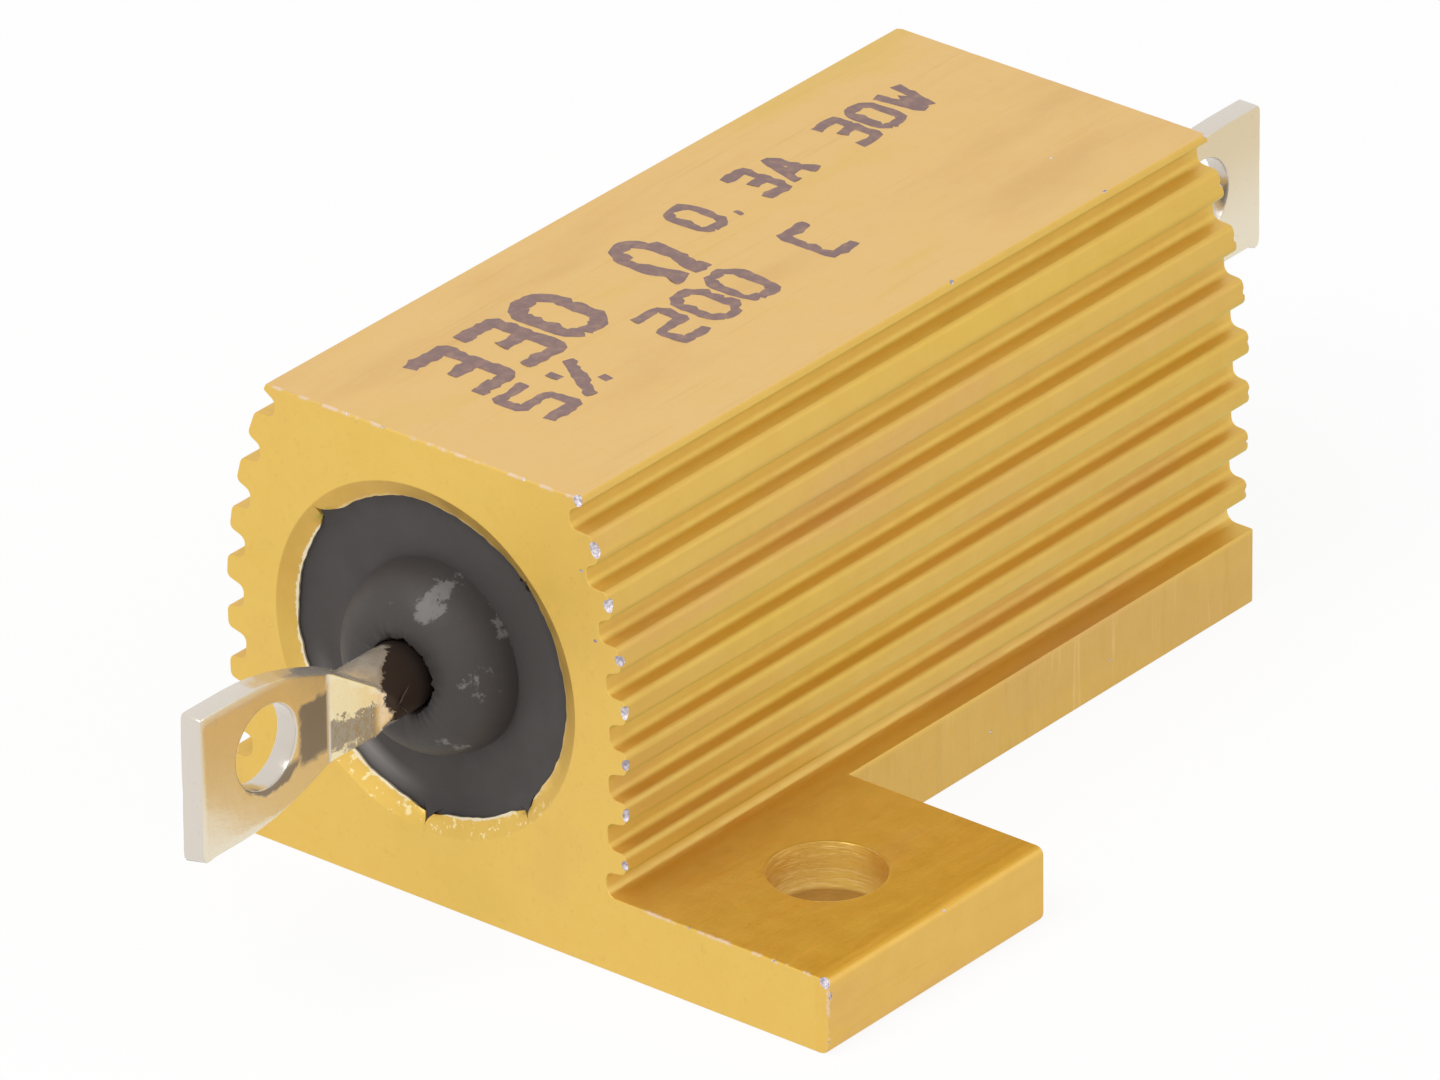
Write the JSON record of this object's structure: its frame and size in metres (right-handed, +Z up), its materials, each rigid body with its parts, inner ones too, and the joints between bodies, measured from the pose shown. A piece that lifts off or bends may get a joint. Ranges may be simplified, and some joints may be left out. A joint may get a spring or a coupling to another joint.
{
  "type": "aluminium housed power resistor",
  "caption": "Finned gold-anodised aluminium power resistor with diagonal fixing tabs, black moulded ends and pierced solder lugs.",
  "frame": {"origin": "centre of the two fixing holes, on the mounting face", "axes": "+X along the body from the front terminal to the rear one, +Z up from the mounting face, front tab towards -Y"},
  "size_m": [0.0461, 0.0276, 0.014],
  "materials": {
    "anodised_housing": "gold anodised, satin, sawn ends",
    "black_moulding": "moulded, satin with dusty smears",
    "ceramic": "unglazed steatite",
    "resistance_wire": "drawn copper-nickel wire",
    "cap_steel": "pressed, plain",
    "tinned_terminal": "tinned, satin"
  },
  "bodies": {
    "root": {"housing": "anodised_housing", "moulding": "black_moulding", "ceramic_core": "ceramic", "resistance_winding": "resistance_wire", "end_cap_front": "cap_steel", "end_cap_rear": "cap_steel", "terminal_front": "tinned_terminal", "terminal_rear": "tinned_terminal"}
  },
  "joints": []
}
